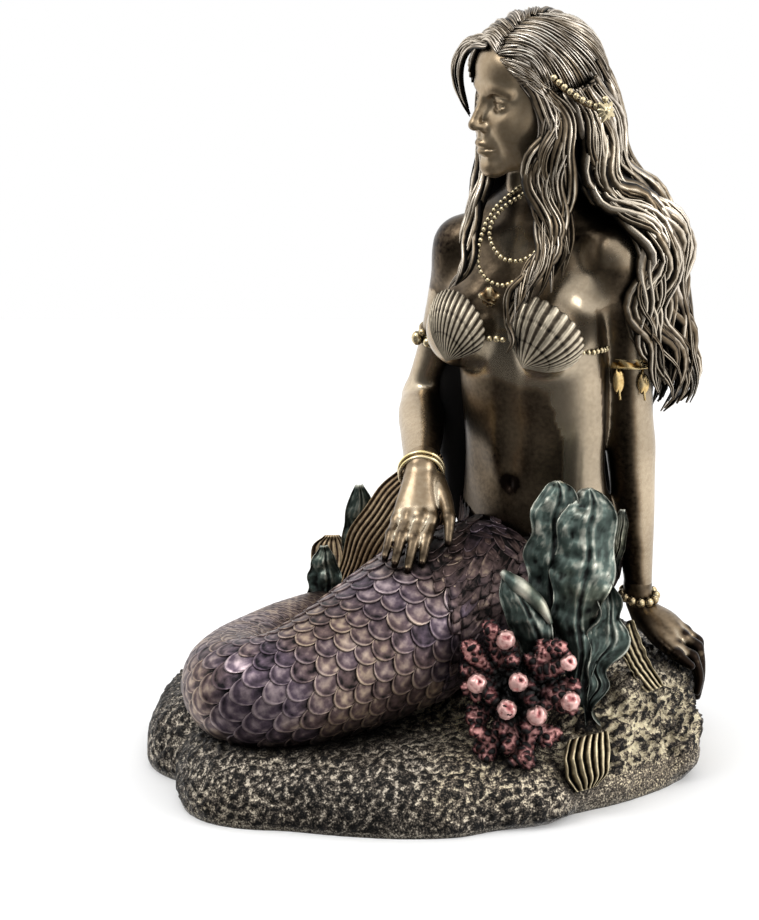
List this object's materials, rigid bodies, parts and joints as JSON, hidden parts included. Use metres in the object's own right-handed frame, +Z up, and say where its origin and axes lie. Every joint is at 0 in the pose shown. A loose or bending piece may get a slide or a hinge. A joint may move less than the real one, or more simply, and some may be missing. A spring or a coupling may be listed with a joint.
{
  "type": "mermaid figurine",
  "caption": "Seated mermaid leaning on a rock, tail curled in front and behind, long hair over one shoulder, kelp and coral at her side; cast as one solid on a flat-bottomed base.",
  "frame": {"origin": "on the flat underside of the rock, below the middle of its outline; the underside is the plane z = 0", "axes": "+Z up; the picture looks along +Y, so the tail crosses the -Y side, the knee is towards -X, the hand on the rock towards +X, and the figure looks towards -X"},
  "size_m": [0.1405, 0.1258, 0.1901],
  "materials": {
    "cast_bronze": "cold-cast bronze: dark brown skin and hair with rubbed-back ridges, mauve tail, teal kelp, red coral, grey-black rock"
  },
  "bodies": {
    "root": {"mermaid_figurine": "cast_bronze"}
  },
  "joints": []
}
